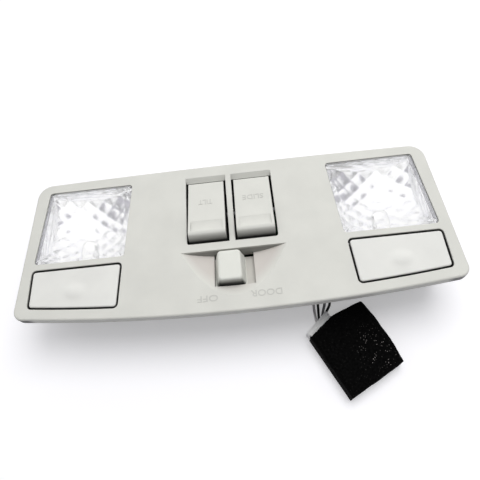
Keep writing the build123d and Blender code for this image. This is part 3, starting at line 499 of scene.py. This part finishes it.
def pillowed(source, bowl_x):
    """A copy of a reflector's mesh with a pillow on each facet of its bowl."""
    work = bmesh.new()
    work.from_mesh(source.data)
    bmesh.ops.remove_doubles(work, verts=work.verts, dist=WELD * MM)
    middle = Vector((bowl_x, BOWL_Y, 0.0))

    def off_bowl(vertex):
        spot = vertex.co / MM - middle
        return abs(spot.z - bowl_height(spot.x, spot.y)[0])

    # The material index marks the bowl's faces, because cutting a face passes it on
    work.normal_update()
    for face in work.faces:
        on_bowl = face.normal.z > FACING_UP and all(off_bowl(v) < ON_BOWL for v in face.verts)
        face.material_index = int(on_bowl)
    count = round(PILLOW_REACH / PILLOW_STEP)
    for lean in (1, -1):
        slant = Vector((1 / FACET_HALF_LONG, lean / FACET_HALF_SHORT, 0.0))
        for step in range(-count, count + 1):
            faces = [face for face in work.faces if face.material_index]
            edges = list({edge for face in faces for edge in face.edges})
            corners = list({vertex for face in faces for vertex in face.verts})
            place = (middle + slant * (step * PILLOW_STEP / slant.length_squared)) * MM
            bmesh.ops.bisect_plane(
                work, geom=faces + edges + corners, dist=CUT_SNAP * MM, plane_co=place, plane_no=slant
            )
    raised = {vertex for face in work.faces if face.material_index for vertex in face.verts}
    for vertex in raised:
        spot = vertex.co / MM - middle
        vertex.co.z += bowl_height(spot.x, spot.y)[1] * MM
    for face in work.faces:
        face.material_index = 0
    bmesh.ops.triangulate(work, faces=[face for face in work.faces if len(face.verts) > 4])
    made = bpy.data.meshes.new(source.name + "_bowl")
    work.to_mesh(made)
    work.free()
    made.shade_smooth()
    made.set_sharp_from_angle(angle=SHARP_ANGLE)
    return made


for side, sign in SIDES:
    reflector_name = side + "_reflector"
    bowl_mesh = pillowed(nodes[reflector_name], sign * BOWL_X)
    bowl = new_piece(reflector_name + "_bowl", bowl_mesh, mirror_coat, "console")
    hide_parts(reflector_name)

# Lenses: the solid's bevel widened to the broad one that the photograph shows

TOP_RISE = 0.75
FOOT_RISE = 1.2
BEVEL_WIDEN = 1.3
BEVEL_DEPTH = 1.5
LENS_LEVEL = 0.2
EDGE_LEAN = 0.1


def bevelled(source):
    """A copy of a lens whose bevel is broader and stands nearer to the face."""
    made = source.data.copy()
    top = max(v.co.z for v in made.vertices)
    foot = min(v.co.z for v in made.vertices if v.co.z > top - BEVEL_DEPTH * MM)
    rim = [v for v in made.vertices if v.co.z > top - LENS_LEVEL * MM]
    low = [min(v.co[i] for v in rim) for i in range(2)]
    high = [max(v.co[i] for v in rim) for i in range(2)]
    for vertex in made.vertices:
        if vertex.co.z > top - LENS_LEVEL * MM:
            for i in range(2):
                middle = (low[i] + high[i]) / 2
                half = (high[i] - low[i]) / 2
                vertex.co[i] = middle + (vertex.co[i] - middle) * (1 - BEVEL_WIDEN * MM / half)
            vertex.co.z += TOP_RISE * MM
        elif vertex.co.z > foot - LENS_LEVEL * MM:
            vertex.co.z += FOOT_RISE * MM
    return made


for side, sign in SIDES:
    lens_mesh = bevelled(nodes[side + "_lens"])
    lens = new_piece(side + "_lens_window", lens_mesh, clear_lens, "console")
    # The outer bevel gets the grey copy with painted shade
    lens.data.materials.append(shaded_lens_edge.material)
    for polygon in lens.data.polygons:
        outer_bevel = sign * polygon.normal.x > EDGE_LEAN and polygon.normal.z > FACING_UP
        polygon.material_index = int(outer_bevel)
    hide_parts(side + "_lens")

# Foam wrap: the solid remeshed, with the pores, dents and lint of an old foam pad

FOAM_VOXEL = 0.6
FOAM_PORE = 0.12
FOAM_PORE_SIZE = 0.9
FOAM_DENT = 0.35
FOAM_DENT_SIZE = 7.0
FOAM_FOOT = 0.5
FOAM_SMOOTHING = 2
LINT_PITCH = 1.2
LINT_SPOT = (0.1, 0.2)
LINT_MIDDLE = (68.0, -62.5)
LINT_REACH = (9.0, 11.0)
LINT_FADE = (1.35, 0.5)
LINT_STRAY = 0.08
LINT_PATCH_SIZE = 5.0
LINT_GREY = linear(150, 146, 142)

black_foam = Shader("black_foam")
foam_black = black_foam.mixed(
    black_foam.between(black_foam.noise(1.2, detail=4.0)), linear(2, 2, 2), linear(13, 13, 13)
)
lint = black_foam.node("ShaderNodeTexVoronoi")
lint.inputs["Scale"].default_value = 1 / (LINT_PITCH * MM)
black_foam.feed(black_foam.place(), lint.inputs["Vector"])
cluster = black_foam.node("ShaderNodeMapping")
cluster.inputs["Scale"].default_value = (*(1 / (reach * MM) for reach in LINT_REACH), 0.0)
cluster.inputs["Location"].default_value = (*(-m / r for m, r in zip(LINT_MIDDLE, LINT_REACH)), 0.0)
black_foam.feed(black_foam.place(), cluster.inputs["Vector"])
lint_share = black_foam.all_of(
    black_foam.ramp(lint.outputs["Distance"], *LINT_SPOT, 1.0, 0.0),
    black_foam.ramp(black_foam.length(cluster.outputs["Vector"]), *LINT_FADE, LINT_STRAY, 1.0),
    black_foam.between(black_foam.noise(LINT_PATCH_SIZE), -0.1, 1.4),
)
black_foam.give("Base Color", black_foam.mixed(lint_share, foam_black, LINT_GREY))
black_foam.give("Roughness", 0.95)
black_foam.give("Specular IOR Level", 0.05)
black_foam.bump(black_foam.noise(0.7, detail=5.0, rough=0.7), 0.25)


def remeshed(source, voxel):
    """A copy of a node's mesh in even faces of one size."""
    scratch = bpy.data.objects.new("scratch", source.data.copy())
    scene.collection.objects.link(scratch)
    remesh = scratch.modifiers.new("remesh", "REMESH")
    remesh.mode = "VOXEL"
    remesh.voxel_size = voxel * MM
    smooth = scratch.modifiers.new("smooth", "SMOOTH")
    smooth.iterations = FOAM_SMOOTHING
    return evaluated_mesh(scratch)


foam_mesh = remeshed(nodes["foam_wrap"], FOAM_VOXEL)
moves = []
for vertex in foam_mesh.vertices:
    spot = vertex.co / MM
    pore = noise.noise(spot / FOAM_PORE_SIZE) * FOAM_PORE
    dent = (noise.noise(spot / FOAM_DENT_SIZE) - 0.5) * FOAM_DENT
    lift = 0.0 if spot.z < FOAM_FOOT else pore + dent
    moves.append(vertex.co + vertex.normal * lift * MM)
for vertex, move in zip(foam_mesh.vertices, moves):
    vertex.co = move
foam_mesh.shade_smooth()
foam = new_piece("foam_pad", foam_mesh, black_foam, "console")
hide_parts("foam_wrap")

# Pigtail: the wires follow the routes of their solids, and the grey and black ones bow out a little more

WIRE_DIAMETER = 1.5
wire_routes = {
    "white_wire": [
        (28.4, -14.0, 5.3), (33.4, -14.1, 5.2), (38.2, -16.0, 4.6), (40.9, -21.0, 3.6),
        (41.2, -28.0, 3.0), (40.3, -35.0, 3.1), (40.2, -40.4, 4.1), (40.6, -45.1, 5.3),
    ],
    "black_wire_one": [
        (28.4, -11.8, 3.2), (33.8, -11.9, 3.1), (39.6, -13.8, 2.3), (43.1, -19.8, 1.3),
        (43.5, -27.6, 0.95), (43.0, -34.6, 1.0), (42.4, -39.4, 1.9), (42.2, -43.6, 3.2),
    ],
    "grey_wire": [
        (28.4, -9.6, 5.3), (34.2, -9.7, 5.2), (41.0, -11.6, 4.5), (45.3, -18.5, 3.5),
        (47.2, -26.4, 2.9), (46.9, -33.6, 3.0), (44.8, -38.2, 4.0), (43.7, -42.2, 5.3),
    ],
    "black_wire_two": [
        (28.4, -7.4, 3.2), (34.6, -7.5, 3.1), (42.4, -9.4, 2.3), (47.5, -17.2, 1.3),
        (50.0, -25.6, 0.95), (50.2, -33.0, 1.0), (47.6, -37.2, 1.9), (45.1, -40.7, 3.2),
    ],
}
wire_covers = {
    "white_wire": ("white_cover", white_cover),
    "black_wire_one": ("black_cover", black_cover),
    "grey_wire": ("grey_cover", grey_cover),
    "black_wire_two": ("black_cover", black_cover),
}
for wire_name, route in wire_routes.items():
    slot_name, cover = wire_covers[wire_name]
    curve = bpy.data.curves.new(wire_name + "_lead", "CURVE")
    curve.dimensions = "3D"
    curve.bevel_depth = WIRE_DIAMETER / 2 * MM
    curve.bevel_resolution = 5
    curve.resolution_u = 16
    curve.use_fill_caps = True
    spline = curve.splines.new("NURBS")
    spline.points.add(len(route) - 1)
    for point, place in zip(spline.points, route):
        point.co = (*(Vector(place) * MM), 1.0)
    spline.order_u = 3
    spline.use_endpoint_u = True
    lead = new_piece(wire_name + "_lead", curve, cover, "console")
    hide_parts(wire_name)

# Lettering: faint raised words on the face and the rockers, the right way up from the far side, in a darker
# grey that paints the shade of their strokes

RAISED = 0.12
ROOTED = 0.15
ABOVE_ALL = 100.0
FONT_EXTRUDE = 0.1
FONT_FATTEN = 0.01
DOWN = Vector((0, 0, -1))


def raised_word(name, word, size, place, carrier, body):
    """A raised word of a width and height, laid on a node's top and turned to read from the far side."""
    text = bpy.data.curves.new(name, "FONT")
    text.body = word
    text.align_x = "CENTER"
    text.align_y = "CENTER"
    text.extrude = FONT_EXTRUDE
    text.offset = FONT_FATTEN
    holder = bpy.data.objects.new(name, text)
    scene.collection.objects.link(holder)
    mesh = evaluated_mesh(holder)
    low = [min(v.co[i] for v in mesh.vertices) for i in range(2)]
    high = [max(v.co[i] for v in mesh.vertices) for i in range(2)]
    top = BVHTree.FromPolygons(
        [v.co for v in carrier.data.vertices], [p.vertices for p in carrier.data.polygons]
    )
    for vertex in mesh.vertices:
        share = [(vertex.co[i] - low[i]) / (high[i] - low[i]) - 0.5 for i in range(2)]
        x = (place[0] - share[0] * size[0]) * MM
        y = (place[1] - share[1] * size[1]) * MM
        ground = top.ray_cast(Vector((x, y, ABOVE_ALL * MM)), DOWN)[0]
        lift = RAISED if vertex.co.z > 0 else -ROOTED
        vertex.co = (x, y, ground.z + lift * MM)
    return new_piece(name, mesh, letter_shade_grey, body)


raised_word("word_off", "OFF", (10.4, 3.3), (-14.4, -36.0), nodes["bezel"], "console")
raised_word("word_door", "DOOR", (15.4, 3.3), (14.8, -35.6), nodes["bezel"], "console")
raised_word(
    "word_tilt", "TILT", (7.6, 3.2), (-13.2, 19.3), nodes["tilt_rocker"], "tilt_rocker"
)
raised_word(
    "word_slide", "SLIDE", (11.4, 3.2), (12.9, 19.5), nodes["slide_rocker"], "slide_rocker"
)

# Studio floor: pale paint, and for the camera and in reflections a glow that turns it white far away

FLOOR_HALF = 4.0
FLOOR_LEVEL = -0.0001
FLOOR_PAINT = (0.76, 0.755, 0.78, 1.0)
GLOW_NEAR = 0.36
GLOW_FAR = 0.8
GLOW_SPAN = (0.3, 1.0)

floor_shader = Shader("floor")
floor_shader.tree.nodes.remove(floor_shader.surface)
floor_rays = floor_shader.node("ShaderNodeLightPath").outputs
paint = floor_shader.node("ShaderNodeBsdfDiffuse")
floor_shader.feed(FLOOR_PAINT, paint.inputs["Color"])
glow = floor_shader.node("ShaderNodeEmission")
floor_shader.feed(CLEAR_WHITE, glow.inputs["Color"])
floor_shader.feed(
    floor_shader.all_of(
        floor_shader.any_of(
            floor_rays["Is Camera Ray"], floor_rays["Is Glossy Ray"], floor_rays["Is Transmission Ray"]
        ),
        floor_shader.ramp(floor_shader.length(floor_shader.place()), *GLOW_SPAN, GLOW_NEAR, GLOW_FAR),
    ),
    glow.inputs["Strength"],
)
both = floor_shader.node("ShaderNodeAddShader")
floor_shader.feed(paint.outputs["BSDF"], both.inputs[0])
floor_shader.feed(glow.outputs["Emission"], both.inputs[1])
floor_shader.feed(both.outputs["Shader"], floor_shader.output.inputs["Surface"])

floor_mesh = bpy.data.meshes.new("floor")
corners = [(x * FLOOR_HALF, y * FLOOR_HALF, FLOOR_LEVEL) for x, y in ((-1, -1), (1, -1), (1, 1), (-1, 1))]
floor_mesh.from_pydata(corners, [], [(0, 1, 2, 3)])
floor = bpy.data.objects.new("floor", floor_mesh)
floor.data.materials.append(floor_shader.material)
scene.collection.objects.link(floor)

# Studio sky: soft light from above and from the far side, plain white for the camera, and in reflections a
# white room with one darker patch at each side, which gives the bowls' facets their grey marks

LIGHT_SPAN = (-0.75, 0.15)
LIGHT_NEAR = (0.12, 0.12, 0.14, 1.0)
LIGHT_FAR = (0.95, 0.95, 0.97, 1.0)
LIGHT_STRENGTH = 0.6
ROOM_WHITE = (1.15, 1.15, 1.15, 1.0)
PATCH_GREY = (0.42, 0.41, 0.46, 1.0)
PATCH_DIRECTION = (0.74, -0.425, 0.525)
PATCH_SPAN = (0.922, 0.965)
FIRST_BOUNCE = 1.5

world = bpy.data.worlds.new("studio")
scene.world = world
world.use_nodes = True
sky = Tree(world.node_tree)


def backdrop(colour, strength=1.0):
    """A sky of one colour, which may change with the direction."""
    made = sky.node("ShaderNodeBackground")
    sky.feed(colour, made.inputs["Color"])
    sky.feed(strength, made.inputs["Strength"])
    return made.outputs["Background"]


direction = sky.node("ShaderNodeTexCoord").outputs["Generated"]
sky_rays = sky.node("ShaderNodeLightPath").outputs
lighting = backdrop(
    sky.mixed(sky.ramp(sky.component(direction, "Y"), *LIGHT_SPAN, smooth=True), LIGHT_NEAR, LIGHT_FAR),
    LIGHT_STRENGTH,
)
folded = sky.node("ShaderNodeCombineXYZ")
sky.feed(sky.component(direction, "X", size=True), folded.inputs["X"])
sky.feed(sky.component(direction, "Y"), folded.inputs["Y"])
sky.feed(sky.component(direction, "Z"), folded.inputs["Z"])
towards_patch = sky.node("ShaderNodeVectorMath", operation="DOT_PRODUCT")
sky.feed(folded.outputs["Vector"], towards_patch.inputs[0])
sky.feed(PATCH_DIRECTION, towards_patch.inputs[1])
patch = sky.all_of(
    towards_patch.outputs["Value"], sky.maths("LESS_THAN", sky_rays["Glossy Depth"], FIRST_BOUNCE)
)
reflected = backdrop(sky.mixed(sky.ramp(patch, *PATCH_SPAN, smooth=True), ROOM_WHITE, PATCH_GREY))
mirrored = sky.any_of(sky_rays["Is Glossy Ray"], sky_rays["Is Transmission Ray"])
lit = sky.mixed_shader(mirrored, lighting, reflected)
shown = sky.mixed_shader(sky_rays["Is Camera Ray"], lit, backdrop(CLEAR_WHITE))
sky.feed(shown, sky.tree.nodes["World Output"].inputs["Surface"])

# Studio lamp: one soft disk, not seen in reflections, where it would whiten the lenses

LAMP_PLACE = (0.14, 0.16, 0.78)
LAMP_SIZE = 0.6
LAMP_ENERGY = 4.2

key = bpy.data.objects.new("key", bpy.data.lights.new("key", "AREA"))
key.data.shape = "DISK"
key.data.size = LAMP_SIZE
key.data.energy = LAMP_ENERGY
key.location = LAMP_PLACE
key.rotation_euler = (-key.location).to_track_quat("-Z", "Y").to_euler()
key.visible_glossy = False
key.visible_transmission = False
scene.collection.objects.link(key)
